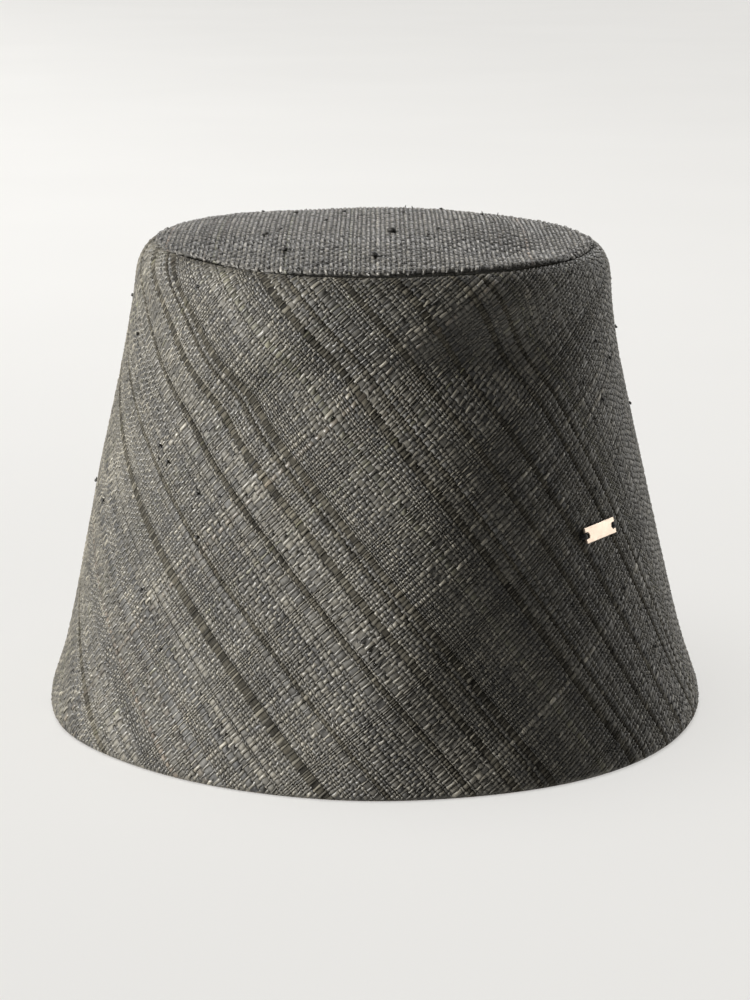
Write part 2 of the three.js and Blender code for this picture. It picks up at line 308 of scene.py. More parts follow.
def weave(seed, a_range, b_range, a_widths, b_widths, wander, levels, place, tone_a, tone_b, shoulders, dim=None):
    """Plain weave as one height field. Bands of alpha (irregular) and beta (even) cross; place
    turns (alpha, beta) into a surface and says which nodes lie inside it. dim is how bright the
    beta bands are where they cross each alpha band."""
    rng = np.random.default_rng(seed)
    a_lines = a_range[0] + np.concatenate([[0], np.cumsum(a_widths)])
    b_lines = b_range[0] + np.concatenate([[0], np.cumsum(b_widths)])
    na, nb = len(a_widths), len(b_widths)
    ci, fa, pe = strand_nodes(a_widths, shoulders[0], shoulders[2], shoulders[3])
    cj, fb, qe = strand_nodes(b_widths, shoulders[1], shoulders[2], shoulders[4])
    a_mid = a_lines[ci] + fa * a_widths[ci]
    b_mid = b_lines[cj] + fb * b_widths[cj]
    # strand edges wander a little along their length
    al = a_lines[:, None] + smooth_noise(rng, na + 1, b_mid, (21, 47, 110), (0.4, 0.5, 0.5)) * wander[0]
    bl = b_lines[:, None] + smooth_noise(rng, nb + 1, a_mid, (17, 39, 90), (0.4, 0.5, 0.5)) * wander[1]
    A = al[ci] + fa[:, None] * (al[ci + 1] - al[ci])                    # (alpha nodes, beta nodes)
    B = (bl[cj] + fb[:, None] * (bl[cj + 1] - bl[cj])).T
    over = (np.arange(na)[:, None] + np.arange(nb)[None, :]) % 2 == 0          # the beta band is on top
    # the strand on top reaches over the one it crosses, so the joins step from row to row
    line_i = ci + (fa > 0.99)
    line_j = cj + (fb > 0.99)
    reach_a = levels["reach"] * np.minimum(a_widths[np.maximum(line_i - 1, 0)], a_widths[np.minimum(line_i, na - 1)])
    reach_b = levels["reach"] * np.minimum(b_widths[np.maximum(line_j - 1, 0)], b_widths[np.minimum(line_j, nb - 1)])
    side_a = np.where((line_i[:, None] - 1 + cj[None, :]) % 2 == 0, 1.0, -1.0)
    side_b = np.where((ci[:, None] + line_j[None, :] - 1) % 2 == 0, -1.0, 1.0)
    uneven = np.clip(1 + 0.5 * rng.normal(size=A.shape), 0.1, 2.0)
    A = A + np.where(pe[:, None] & ~qe[None, :], reach_a[:, None] * side_a * uneven, 0)
    B = B + np.where(qe[None, :] & ~pe[:, None], reach_b[None, :] * side_b * uneven, 0)
    lift_a = (1 + 0.16 * rng.normal(size=nb)) * np.where(b_widths < 0.82, 1.25, 1.0)
    lift_b = levels["b_top"] * np.where(a_widths < 0.95, 1.3, np.where(a_widths > 2.0, 0.45, 1.0)) + 0.035 * rng.normal(size=na)
    cell = np.where(
        over,
        levels["a_top"] * lift_a[None, :] + 0.045 * rng.normal(size=over.shape),
        lift_b[:, None] + 0.045 * rng.normal(size=over.shape),
    )
    low = rng.uniform(size=over.shape) < levels["sunk"]            # knuckles that lie deeper; further down their colour is darkened too, painted shade
    cell = cell - low * rng.uniform(0.05, 0.2, over.shape)
    H = cell[np.ix_(ci, cj)]
    pe, qe = pe[:, None], qe[None, :]
    jit = rng.normal(size=H.shape)
    # some joins between neighbouring alpha bands are open and deeper, with more painted shade darkening their borders,
    # others closed
    gap = np.clip(rng.gamma(1.3, 0.75, na + 1), 0.15, 2.6)[line_i][:, None]
    H = np.where(pe & ~qe, levels["a_end"] * gap + 0.03 * jit, H)
    H = np.where(~pe & qe, levels["b_end"] + 0.03 * jit, H)
    H = np.where(pe & qe, levels["corner"] + 0.02 * jit, H)
    # each node slips a little, so no two knuckles are quite alike
    slip = levels["slip"]
    A = A + slip * np.clip(rng.normal(size=A.shape), -2, 2)
    B = B + slip * np.clip(rng.normal(size=B.shape), -2, 2)
    pos, nrm, inside, fade, flat_uv = place(A, B)
    H = H * fade + levels["under"] * (1 - fade)
    pos = pos + nrm * H[..., None]
    keep = inside[:-1, :-1] | inside[1:, :-1] | inside[1:, 1:] | inside[:-1, 1:]
    i0, j0 = np.nonzero(keep)
    wide = len(cj)
    quads = np.stack([i0 * wide + j0, (i0 + 1) * wide + j0, (i0 + 1) * wide + j0 + 1, i0 * wide + j0 + 1], -1)
    flat_pos = pos.reshape(-1, 3)
    a, b, c, d = (flat_pos[quads[:, k]] for k in range(4))
    face = np.cross(c - a, d - b)
    area = np.linalg.norm(face, axis=1)
    good = area > 2e-3
    outward = 1.0 if (face * nrm.reshape(-1, 3)[quads[:, 0]])[good].sum() > 0 else -1.0
    quads, i0, j0 = quads[good], i0[good], j0[good]
    # corner normals: each strand rounded, with a crease where it meets the next
    a_start, a_end = tangents(pos, pe[:, 0], levels["bulge"])
    b_start, b_end = (t.transpose(1, 0, 2) for t in tangents(pos.transpose(1, 0, 2), qe[0], levels["bulge"]))
    corner_nrm = np.empty((len(quads), 4, 3))
    for k, (di, dj) in enumerate(((0, 0), (1, 0), (1, 1), (0, 1))):
        ta = (a_end if di else a_start)[i0, j0 + dj]
        tb = (b_end if dj else b_start)[i0 + di, j0]
        corner_nrm[:, k] = unit(np.cross(ta, tb)) * outward
    # face attributes
    fi, fj = ci[i0], cj[j0]
    top = over[fi, fj]
    col = np.where(top[:, None], tone_a(rng, fj, A[i0, j0], nb), tone_b(rng, fi, B[i0, j0], na))
    # sunk knuckles get 0.62 of the colour: painted shade
    cell_tone = np.exp(levels["vary"] * np.random.default_rng(seed + 5).normal(size=over.shape) - 0.04) * np.where(low, 0.62, 1.0)
    blotch = 1 + 0.09 * cloud(A, B, seed + 6, 34.0) + 0.07 * cloud(A, B, seed + 7, 9.0)
    thin = np.where(top, np.where(b_widths < 0.82, 1.22, 1.0)[fj], np.where(a_widths < 0.95, 1.3, 1.0)[fi])
    if dim is not None:
        thin = thin * np.where(top, dim[fi], 1.0)
    col = col * (np.clip(cell_tone[fi, fj], 0.35, 1.35) * blotch[i0, j0] * thin)[:, None]
    # strand borders, and their corners most of all, are darkened by the "dark" factors: painted shade in the gaps
    # between strands
    edge_painted_shade = np.where(pe & qe, levels["dark"][2], np.where(pe, levels["dark"][0] ** gap, np.where(qe, levels["dark"][1], 1.0)))
    edge_painted_shade = np.broadcast_to(edge_painted_shade, H.shape)
    tint = col[:, None, :] * edge_painted_shade.reshape(-1)[quads][:, :, None]
    # strand coordinates in mm: along, across, with every strand in a place of its own
    Af, Bf = A.reshape(-1)[quads], B.reshape(-1)[quads]
    off = np.random.default_rng(seed + 9)
    oa, ob = off.uniform(0, 900, nb), off.uniform(0, 900, na)
    along = np.where(top[:, None], Af + oa[fj][:, None], Bf + ob[fi][:, None])
    across = np.where(top[:, None], -Bf - 7.3 * fj[:, None] - 100, Af + 5.1 * fi[:, None] + 1000)
    strand_uv = np.stack([along, across], -1) * 0.01
    way = slice(None) if outward > 0 else slice(None, None, -1)
    return {
        "pos": flat_pos, "quads": quads[:, way], "tint": tint[:, way], "strand": strand_uv[:, way],
        "flat": flat_uv.reshape(-1, 2), "nrm": corner_nrm[:, way], "alpha_band": fi,
        "a_lines": a_lines, "b_lines": b_lines,
    }


def weave_piece(name, data, chosen, material):
    quads = data["quads"][chosen]
    used, inv = np.unique(quads, return_inverse=True)
    quads_new = inv.reshape(quads.shape)
    flat = data["flat"][quads]
    lo, hi = flat.reshape(-1, 2).min(0), flat.reshape(-1, 2).max(0)
    bake = 0.01 + 0.98 * (flat - lo) / (hi - lo).max()
    return make_mesh(
        name, data["pos"][used], quads_new, material, corner_normals=data["nrm"][chosen].reshape(-1, 3),
        tint=data["tint"][chosen].reshape(-1, 3),
        uvs={"OFBake": bake.reshape(-1, 2), "strand": data["strand"][chosen].reshape(-1, 2)},
    )


# ---- the side, laid flat ----------------------------------------------------------------------
CONE = 0.2141                       # widening of the side for each mm down
CONE_L = math.sqrt(1 + CONE * CONE)
APEX_Z = 482.4
_z = np.linspace(0, SEAM_Z, 2929)
_da = np.gradient(half_width(_z), _z)
_dw = np.sqrt(1 + _da * _da) / CONE_L
_w = np.concatenate([[0], np.cumsum((_dw[1:] + _dw[:-1]) / 2 * np.diff(_z))])
_w = (APEX_Z - 73.0) - (_w - np.interp(73.0, _z, _w))            # distance down from the apex
_phi = np.linspace(-math.pi, math.pi, 4321)
_e = np.stack([CONE * np.sin(_phi), -CONE * OVAL * np.cos(_phi), -np.ones_like(_phi)], -1)
_e = unit(_e)
_theta = np.concatenate([[0], np.cumsum(np.linalg.norm(np.diff(_e, axis=0), axis=1))])
_theta -= _theta[-1] / 2
THETA_MAX = float(_theta[-1])


def slant(phi):
    return np.sqrt(1 + CONE * CONE * (np.sin(phi) ** 2 + (OVAL * np.cos(phi)) ** 2))


def lay_flat(phi, z):
    rho = np.interp(z, _z, _w) * slant(phi)
    th = np.interp(phi, _phi, _theta)
    return rho * np.sin(th), -rho * np.cos(th)


def fold_back(u, v):
    """Flat place to azimuth and height; also how far past the back seam, the rim and the top it is."""
    rho, th = np.hypot(u, v), np.arctan2(u, -v)
    side = np.abs(th) * rho - THETA_MAX * rho                      # > 0 past the back seam, mm
    phi = np.interp(th, _theta, _phi)
    w = rho / slant(phi)
    z = np.interp(-w, -_w, _z)
    below, above = w - _w[0], _w[-1] - w
    return phi, z, side, below, above


ANG_A, ANG_B = math.radians(40.5), math.radians(-50.4)
D_A = np.array([math.cos(ANG_A), math.sin(ANG_A)])
D_B = np.array([math.cos(ANG_B), math.sin(ANG_B)])
SKEW = np.linalg.inv(np.stack([D_A, D_B], 1))
RIM_EDGE, TOP_EDGE = 0.35, SEAM_Z - 0.25


PULL_FROM, PULL_OVER, PULL = -30.0, 130.0, 0.118      # the cloth is drawn up a little round the left


def pull(u):
    t = np.maximum((PULL_FROM - u) / PULL_OVER, 0)
    return PULL * PULL_OVER * np.where(t < 1, t**3 - t**4 / 2, t - 0.5)


def side_place(A, B):
    u = A * D_A[0] + B * D_B[0]
    v = A * D_A[1] + B * D_B[1]
    lift = pull(u)
    u, v = u - D_A[1] * lift, v + D_A[0] * lift
    phi, z, side, below, above = fold_back(u, v)
    inside = (side < 0) & (below < -RIM_EDGE) & (above < -0.25)
    z = np.clip(z, RIM_EDGE, TOP_EDGE)
    phi = np.clip(phi, -math.pi, math.pi)
    pos = wall_point(phi, z)
    nrm = wall_normal(phi, z)
    fade = smooth((z - RIM_EDGE) / 0.8) * smooth((TOP_EDGE - z) / 0.5 + 0.3) * smooth(-side / 0.9)
    return pos, nrm, inside, fade, np.stack([u, v], -1)


def bands(rng, count, wave, size):
    """Slow rise and fall over a run of strands."""
    t = np.arange(count)
    out = np.zeros(count)
    for k, s in zip(wave, size):
        out += s * np.sin(2 * math.pi * t / k + rng.uniform(0, 6.28)) * rng.uniform(0.7, 1.2)
    return out


def odd_strands(rng, count, share):
    """A few strands are browner, greener, bluer, paler or darker than the rest."""
    col = np.ones((count, 3))
    pick = rng.uniform(size=count)
    kinds = [(1.06, 0.93, 0.86), (0.97, 1.0, 0.86), (0.90, 0.94, 1.06), (0.66, 0.62, 0.60), (0.52, 0.52, 0.52)]
    for k, c in enumerate(kinds):
        hit = (pick > k * share) & (pick < (k + 1) * share)
        col[hit] = c
    return col


def side_tone_a(rng, j, along, count):
    base = np.clip(np.exp(0.20 * rng.normal(size=count)), 0.5, 1.25)[:, None] * odd_strands(rng, count, 0.018)
    phase = rng.uniform(0, 6.28, (3, count))
    slow = 0.07 * np.sin(along / 9.0 + phase[0][j]) + 0.06 * np.sin(along / 4.1 + phase[1][j]) + 0.05 * np.sin(along / 23.0 + phase[2][j])
    return base[j] * (1.42 + slow)[:, None]


def side_tone_b(rng, i, along, count):
    run = bands(rng, count, (9.3, 17.1, 41.0), (0.08, 0.09, 0.06))
    base = np.clip(np.exp(run + 0.28 * rng.normal(size=count)), 0.4, 1.22)[:, None] * odd_strands(rng, count, 0.024)
    base[rng.uniform(size=count) < 0.06] *= 0.45
    base[DARK] = BRIGHT[DARK, None] * np.array([1.0, 0.99, 0.97])
    phase = rng.uniform(0, 6.28, (3, count))
    size = rng.uniform(0.3, 1.7, count)[i]
    slow = size * (0.09 * np.sin(along / 8.3 + phase[0][i]) + 0.06 * np.sin(along / 3.7 + phase[1][i]) + 0.12 * np.sin(along / 21.0 + phase[2][i]))
    return base[i] * (0.92 + slow)[:, None]


# ---- materials --------------------------------------------------------------------------------
def node_material(name):
    mat = bpy.data.materials.new(name)
    mat.use_nodes = True
    nt = mat.node_tree
    nt.nodes.clear()
    out = nt.nodes.new("ShaderNodeOutputMaterial")
    bsdf = nt.nodes.new("ShaderNodeBsdfPrincipled")
    nt.links.new(bsdf.outputs["BSDF"], out.inputs["Surface"])
    return mat, nt, bsdf


def link(nt, a, b):
    nt.links.new(a, b)


def math_node(nt, op, a, b=None, c=None):
    n = nt.nodes.new("ShaderNodeMath")
    n.operation = op
    for k, v in enumerate((a, b, c)):
        if v is None:
            continue
        if isinstance(v, (int, float)):
            n.inputs[k].default_value = v
        else:
            nt.links.new(v, n.inputs[k])
    return n.outputs[0]


def mix_rgb(nt, kind, fac, a, b):
    n = nt.nodes.new("ShaderNodeMix")
    n.data_type = "RGBA"
    n.blend_type = kind
    for sock, v in ((n.inputs[0], fac), (n.inputs[6], a), (n.inputs[7], b)):
        if isinstance(v, (int, float)):
            sock.default_value = v
        elif isinstance(v, tuple):
            sock.default_value = (*v, 1.0)
        else:
            nt.links.new(v, sock)
    return n.outputs[2]


def ramp(nt, fac, stops):
    n = nt.nodes.new("ShaderNodeValToRGB")
    while len(n.color_ramp.elements) < len(stops):
        n.color_ramp.elements.new(0.5)
    for e, (at, col) in zip(n.color_ramp.elements, stops):
        e.position = at
        e.color = (*col, 1.0) if isinstance(col, tuple) else (col, col, col, 1.0)
    nt.links.new(fac, n.inputs[0])
    return n.outputs[0]


def noise(nt, vector, scale, detail=2.0, rough=0.55):
    n = nt.nodes.new("ShaderNodeTexNoise")
    n.inputs["Scale"].default_value = scale
    n.inputs["Detail"].default_value = detail
    n.inputs["Roughness"].default_value = rough
    nt.links.new(vector, n.inputs["Vector"])
    return n.outputs["Fac"]


def stretched(nt, vector, scale):
    n = nt.nodes.new("ShaderNodeMapping")
    n.inputs["Scale"].default_value = scale
    nt.links.new(vector, n.inputs["Vector"])
    return n.outputs["Vector"]


def straw_material(name, base, rough=(0.42, 0.62), specular=0.65):
    """Strands of dyed straw: fibres run along each strand, tinted strand by strand, and the tint also carries painted
    shade at the strands' borders.
    """
    mat, nt, bsdf = node_material(name)
    uv = nt.nodes.new("ShaderNodeUVMap")
    uv.uv_map = "strand"
    tint = nt.nodes.new("ShaderNodeVertexColor")
    tint.layer_name = "tint"
    fibre = noise(nt, stretched(nt, uv.outputs[0], (9.0, 260.0, 1.0)), 1.0, 3.0, 0.6)
    fleck = noise(nt, stretched(nt, uv.outputs[0], (38.0, 90.0, 1.0)), 1.0, 2.0, 0.5)
    colour = mix_rgb(nt, "MULTIPLY", 1.0, tint.outputs["Color"], base)
    colour = mix_rgb(nt, "MULTIPLY", 1.0, colour, ramp(nt, fibre, [(0.25, 0.62), (0.5, 0.98), (0.75, 1.38)]))
    colour = mix_rgb(nt, "MULTIPLY", 0.6, colour, ramp(nt, fleck, [(0.3, (0.78, 0.74, 0.68)), (0.6, (1.1, 1.1, 1.1))]))
    link(nt, colour, bsdf.inputs["Base Color"])
    # the strands of alpha lie above 0 in the second strand coordinate, and are duller
    sep = nt.nodes.new("ShaderNodeSeparateXYZ")
    link(nt, uv.outputs[0], sep.inputs[0])
    dull = math_node(nt, "GREATER_THAN", sep.outputs[1], 0.0)
    grain = ramp(nt, fleck, [(0.3, rough[1]), (0.7, rough[0])])
    link(nt, math_node(nt, "MULTIPLY_ADD", dull, 0.2, grain), bsdf.inputs["Roughness"])
    bsdf.inputs["Specular IOR Level"].default_value = specular
    bump = nt.nodes.new("ShaderNodeBump")
    bump.inputs["Strength"].default_value = 0.45
    bump.inputs["Distance"].default_value = 0.00006
    link(nt, fibre, bump.inputs["Height"])
    link(nt, bump.outputs["Normal"], bsdf.inputs["Normal"])
    return mat


def inner_material(name, base):
    """The same straw seen from inside, its weave in bump and colour, with painted shade darkening the colour in the
    weave's low places.
    """
    mat, nt, bsdf = node_material(name)
    uv = nt.nodes.new("ShaderNodeUVMap")
    uv.uv_map = "weave"
    tint = nt.nodes.new("ShaderNodeVertexColor")
    tint.layer_name = "tint"
    sep = nt.nodes.new("ShaderNodeSeparateXYZ")
    link(nt, uv.outputs[0], sep.inputs[0])
    u, v = sep.outputs[0], sep.outputs[1]
    fu, fv = math_node(nt, "FRACT", u), math_node(nt, "FRACT", v)
    iu, iv = math_node(nt, "FLOOR", u), math_node(nt, "FLOOR", v)
    odd = math_node(nt, "FLOORED_MODULO", math_node(nt, "ADD", iu, iv), 2.0)
    su = math_node(nt, "SINE", math_node(nt, "MULTIPLY", fu, math.pi))
    sv = math_node(nt, "SINE", math_node(nt, "MULTIPLY", fv, math.pi))
    ru, rv = math_node(nt, "POWER", su, 0.5), math_node(nt, "POWER", sv, 0.5)
    over = math_node(nt, "MULTIPLY", rv, math_node(nt, "MULTIPLY_ADD", ru, 0.5, 0.5))
    under = math_node(nt, "MULTIPLY", math_node(nt, "MULTIPLY", ru, math_node(nt, "MULTIPLY_ADD", rv, 0.5, 0.5)), 0.75)
    pick = nt.nodes.new("ShaderNodeMix")
    link(nt, odd, pick.inputs[0])
    link(nt, over, pick.inputs[2])
    link(nt, under, pick.inputs[3])
    height = pick.outputs[0]
    ids = nt.nodes.new("ShaderNodeCombineXYZ")
    link(nt, math_node(nt, "MULTIPLY", iu, math_node(nt, "SUBTRACT", 1.0, odd)), ids.inputs[0])
    link(nt, math_node(nt, "MULTIPLY", iv, odd), ids.inputs[1])
    white = nt.nodes.new("ShaderNodeTexWhiteNoise")
    white.noise_dimensions = "2D"
    link(nt, ids.outputs[0], white.inputs["Vector"])
    colour = mix_rgb(nt, "MULTIPLY", 1.0, tint.outputs["Color"], base)
    colour = mix_rgb(nt, "MULTIPLY", 1.0, colour, ramp(nt, white.outputs[0], [(0.0, 0.72), (0.6, 1.0), (1.0, 1.35)]))
    # colour darkened where the weave lies low: painted shade
    colour = mix_rgb(nt, "MULTIPLY", 1.0, colour, ramp(nt, height, [(0.0, 0.35), (0.45, 0.8), (0.9, 1.1)]))
    link(nt, colour, bsdf.inputs["Base Color"])
    bsdf.inputs["Roughness"].default_value = 0.62
    bsdf.inputs["Specular IOR Level"].default_value = 0.35
    bump = nt.nodes.new("ShaderNodeBump")
    bump.inputs["Strength"].default_value = 1.0
    bump.inputs["Distance"].default_value = 0.00035
    link(nt, height, bump.inputs["Height"])
    link(nt, bump.outputs["Normal"], bsdf.inputs["Normal"])
    return mat


def metal_material(name):
    mat, nt, bsdf = node_material(name)
    co = nt.nodes.new("ShaderNodeTexCoord")
    brushed = noise(nt, stretched(nt, co.outputs["Object"], (160.0, 160.0, 5200.0)), 1.0, 3.0, 0.6)
    cloudy = noise(nt, stretched(nt, co.outputs["Object"], (260.0, 260.0, 260.0)), 1.0, 3.0, 0.6)
    link(nt, ramp(nt, cloudy, [(0.35, (0.60, 0.49, 0.40)), (0.65, (0.68, 0.57, 0.47))]), bsdf.inputs["Base Color"])
    link(nt, ramp(nt, brushed, [(0.3, 0.30), (0.7, 0.44)]), bsdf.inputs["Roughness"])
    bsdf.inputs["Metallic"].default_value = 1.0
    bump = nt.nodes.new("ShaderNodeBump")
    bump.inputs["Strength"].default_value = 0.15
    bump.inputs["Distance"].default_value = 0.00004
    link(nt, brushed, bump.inputs["Height"])
    link(nt, bump.outputs["Normal"], bsdf.inputs["Normal"])
    return mat


def thread_material(name, base):
    mat, nt, bsdf = node_material(name)
    co = nt.nodes.new("ShaderNodeTexCoord")
    twist = noise(nt, stretched(nt, co.outputs["Object"], (5200.0, 5200.0, 5200.0)), 1.0, 2.0, 0.5)
    link(nt, ramp(nt, twist, [(0.3, tuple(0.6 * c for c in base)), (0.7, tuple(1.5 * c for c in base))]), bsdf.inputs["Base Color"])
    bsdf.inputs["Roughness"].default_value = 0.6
    bump = nt.nodes.new("ShaderNodeBump")
    bump.inputs["Strength"].default_value = 0.4
    bump.inputs["Distance"].default_value = 0.00005
    link(nt, twist, bump.inputs["Height"])
    link(nt, bump.outputs["Normal"], bsdf.inputs["Normal"])
    return mat


SIDE_COLOUR = (0.0785, 0.0732, 0.0590)
TIP_COLOUR = (0.0855, 0.0815, 0.0725)
side_straw = straw_material("side_straw", SIDE_COLOUR)
dark_straw = straw_material("dark_straw", SIDE_COLOUR, (0.6, 0.75), 0.16)
tip_straw = straw_material("tip_straw", TIP_COLOUR)
inner_straw = inner_material("inner_straw", SIDE_COLOUR)
plate_metal = metal_material("plate_metal")
thread_dark = thread_material("thread_dark", (0.011, 0.010, 0.011))
knot_straw = thread_material("knot_straw", (0.016, 0.015, 0.013))

# ---- the woven side ----------------------------------------------------------------------------
# the widest dark strands: middle and width in mm, across the falling strands, and how bright
DARK_STRANDS = [
    (-441.0, 2.0, 0.72), (-415.5, 1.7, 0.86), (-381.3, 2.2, 0.86), (-326.6, 3.0, 0.67), (-312.8, 1.3, 0.95),
    (-293.8, 1.6, 0.70), (-283.0, 2.4, 0.92), (-276.2, 1.4, 0.84), (-273.1, 2.2, 0.80), (-246.1, 2.4, 0.76),
    (-240.5, 1.4, 0.93), (-227.8, 2.0, 0.80), (-215.9, 2.2, 0.86), (-200.8, 2.0, 0.90), (-194.0, 1.5, 0.93),
    (-96.0, 2.0, 0.82), (-41.0, 1.8, 0.88),
]
_ring = np.linspace(-math.pi, math.pi, 721)
_corners = np.concatenate([np.stack(lay_flat(_ring, np.full_like(_ring, z)), -1) for z in (0.0, SEAM_Z)])
_ab = _corners @ SKEW.T
A_RANGE = (float(_ab[:, 0].min()) - 6, float(_ab[:, 0].max()) + 6)
B_RANGE = (float(_ab[:, 1].min()) - 4, float(_ab[:, 1].max()) + 36)
_rng = np.random.default_rng(41)
SIDE_A_WIDTHS = strand_widths(_rng, A_RANGE[1] - A_RANGE[0], 1.50, 0.42, 0.7, 3.0, 0.4, fine=0.08)
SIDE_A_WIDTHS, DARK, BRIGHT = place_strands(A_RANGE[0], SIDE_A_WIDTHS, DARK_STRANDS)
SIDE_B_WIDTHS = strand_widths(_rng, B_RANGE[1] - B_RANGE[0], 1.18, 0.19, 0.68, 1.75, 0.2, fine=0.04)
# "dark" gives the colour factors at alpha borders, beta borders and corners: painted shade
SIDE_LEVELS = {"a_top": 0.24, "b_top": 0.19, "a_end": -0.045, "b_end": -0.17, "corner": -0.36, "under": -0.6,
               "slip": 0.05, "dark": (0.66, 0.38, 0.22), "sunk": 0.12, "vary": 0.28, "bulge": 1.7, "reach": 0.18}
side_data = weave(
    77, A_RANGE, B_RANGE, SIDE_A_WIDTHS, SIDE_B_WIDTHS, (0.15, 0.10), SIDE_LEVELS,
    side_place, side_tone_a, side_tone_b, (0.26, 0.26, 0.42, 1.6, 1.5), dim=1 - 0.45 * (1 - BRIGHT),
)
_mid = side_data["pos"][side_data["quads"]].mean(1)
_turn = np.degrees(np.arctan2(_mid[:, 0], -_mid[:, 1] / OVAL))
_dark = DARK[side_data["alpha_band"]]
_names = ["side_weave_back_left", "side_weave_front_left", "side_weave_front_right", "side_weave_back_right"]
woven = []
for k, name in enumerate(_names):
    chosen = (_turn >= -180 + 90 * k) & (_turn < -90 + 90 * k + (1 if k == 3 else 0))
    woven.append(weave_piece(name, side_data, chosen & ~_dark, side_straw))
woven.append(weave_piece("side_dark_strands", side_data, _dark, dark_straw))

# ---- the woven tip -----------------------------------------------------------------------------
ROLL = 0.85                          # radius of the tip's rolled edge
ROLL_TURN = math.radians(118)


def edge_waves(phi, seed, long, short):
    """Small unevenness of the sewn edge round the tip, in mm."""
    rng = np.random.default_rng(seed)
    out = 0
    for k in (3, 5, 8, 11):
        out = out + long * 0.5 * np.sin(k * phi + rng.uniform(0, 6.28)) * rng.uniform(0.6, 1.2)
    for k in (57, 83, 127, 151):
        out = out + short * 0.5 * np.sin(k * phi + rng.uniform(0, 6.28)) * rng.uniform(0.6, 1.2)
    return out


def tip_place(A, B):
    """alpha runs across the strands that lie in Y, beta is Y."""
    x, y = B, A
    phi = np.arctan2(x, -y / OVAL)
    a = np.hypot(x, y / OVAL)
    reach = a / (TIP_A - 0.1)
    past = np.maximum(a - (TIP_A - 0.1), 0)                       # mm past where the roll starts
    turn = np.minimum(past / ROLL, ROLL_TURN)
    inside = past / ROLL < ROLL_TURN
    e = 0.35
    rr = np.minimum(reach, 1.0)
    ex = np.minimum(a, TIP_A - 0.1)
    px, py = ex * np.sin(phi), -OVAL * ex * np.cos(phi)
    zz = tip_height(px, py, rr)
    gx = (tip_height(px + e, py, np.hypot(px + e, py / OVAL) / (TIP_A - 0.1)) - tip_height(px - e, py, np.hypot(px - e, py / OVAL) / (TIP_A - 0.1))) / (2 * e)
    gy = (tip_height(px, py + e, np.hypot(px, (py + e) / OVAL) / (TIP_A - 0.1)) - tip_height(px, py - e, np.hypot(px, (py - e) / OVAL) / (TIP_A - 0.1))) / (2 * e)
    # past the edge the slope is that just inside it
    nrm = unit(np.stack([-gx, -gy, np.ones_like(gx)], -1))
    ow = unit(np.stack([OVAL * np.sin(phi), -np.cos(phi), 0 * phi], -1))      # outwards in plan
    nrm_edge = unit(ow * 0.22 + np.array([0, 0, 1.0]))
    near = smooth((reach - 0.96) / 0.04)[..., None]
    nrm = unit(nrm * (1 - near) + nrm_edge * near)
    along = unit(ow - nrm_edge * (ow * nrm_edge).sum(-1, keepdims=True))
    base = np.stack([px, py, zz], -1)
    s, c = np.sin(turn)[..., None], np.cos(turn)[..., None]
    rolled = (nrm_edge * c + along * s)
    pos = np.where((past > 0)[..., None], base - nrm_edge * ROLL + rolled * ROLL, base)
    loose = smooth((reach - 0.92) / 0.08)
    pos = pos + ow * (edge_waves(phi, 17, 0.3, 0.16) * loose)[..., None]
    pos[..., 2] += (edge_waves(phi, 19, 0.34, 0.14) + 1.0 * bell((phi - 0.47) / 0.26)) * loose
    nrm = np.where((past > 0)[..., None], rolled, nrm)
    fade = smooth((ROLL_TURN - turn) / 0.5) * 0.999 + 0.001
    return pos, nrm, inside, fade, np.stack([x, y], -1)


def tip_tone_a(rng, j, along, count):
    base = np.exp(0.16 * rng.normal(size=count))[:, None] * odd_strands(rng, count, 0.02)
    phase = rng.uniform(0, 6.28, (2, count))
    slow = 0.09 * np.sin(along / 6.0 + phase[0][j]) + 0.06 * np.sin(along / 19.0 + phase[1][j])
    return base[j] * (1.12 + slow)[:, None]


def tip_tone_b(rng, i, along, count):
    run = bands(rng, count, (7.0, 13.1, 29.0), (0.10, 0.08, 0.08))
    base = np.exp(run + 0.20 * rng.normal(size=count))[:, None] * odd_strands(rng, count, 0.03)
    phase = rng.uniform(0, 6.28, (2, count))
    slow = 0.09 * np.sin(along / 9.0 + phase[0][i]) + 0.06 * np.sin(along / 27.0 + phase[1][i])
    return base[i] * (0.70 + slow)[:, None]


TIP_SPAN = TIP_A + ROLL * ROLL_TURN + 3
_rng = np.random.default_rng(43)
TIP_A_WIDTHS = strand_widths(_rng, 2 * TIP_SPAN * OVAL, 2.5, 0.24, 1.6, 4.0, 0.4)
TIP_B_WIDTHS = strand_widths(_rng, 2 * TIP_SPAN, 1.42, 0.08, 1.15, 1.8, 0.2)
# "dark" gives the colour factors at alpha borders, beta borders and corners: painted shade
TIP_LEVELS = {"a_top": 0.34, "b_top": 0.06, "a_end": -0.18, "b_end": -0.11, "corner": -0.30, "under": -0.38,
               "slip": 0.07, "dark": (0.34, 0.44, 0.2), "sunk": 0.1, "vary": 0.30, "bulge": 1.7, "reach": 0.2}
tip_data = weave(
    91, (-TIP_SPAN * OVAL, TIP_SPAN * OVAL), (-TIP_SPAN, TIP_SPAN), TIP_A_WIDTHS, TIP_B_WIDTHS,
    (0.16, 0.07), TIP_LEVELS, tip_place, tip_tone_a, tip_tone_b, (0.22, 0.26, 0.5, 0.8, 0.8),
)
tip_weave = weave_piece("tip_weave", tip_data, np.ones(len(tip_data["quads"]), bool), tip_straw)


# ---- closed shells under the weave ---------------------------------------------------------------
def ring_band(rings, closed):
    """rings is (rows, around, 3); quads that join each row to the next."""
    rows, around = rings.shape[:2]
    i = np.arange(rows if closed else rows - 1)
    k = np.arange(around)
    I, K = np.meshgrid(i, k, indexing="ij")
    J, N = (I + 1) % rows, (K + 1) % around
    return np.stack([I * around + K, I * around + N, J * around + N, J * around + K], -1).reshape(-1, 4)


def strand_index(lines, value):
    return np.interp(value, lines, np.arange(len(lines), dtype=float))


AROUND = 160
ring_phi = -math.pi + 2 * math.pi * np.arange(AROUND) / AROUND


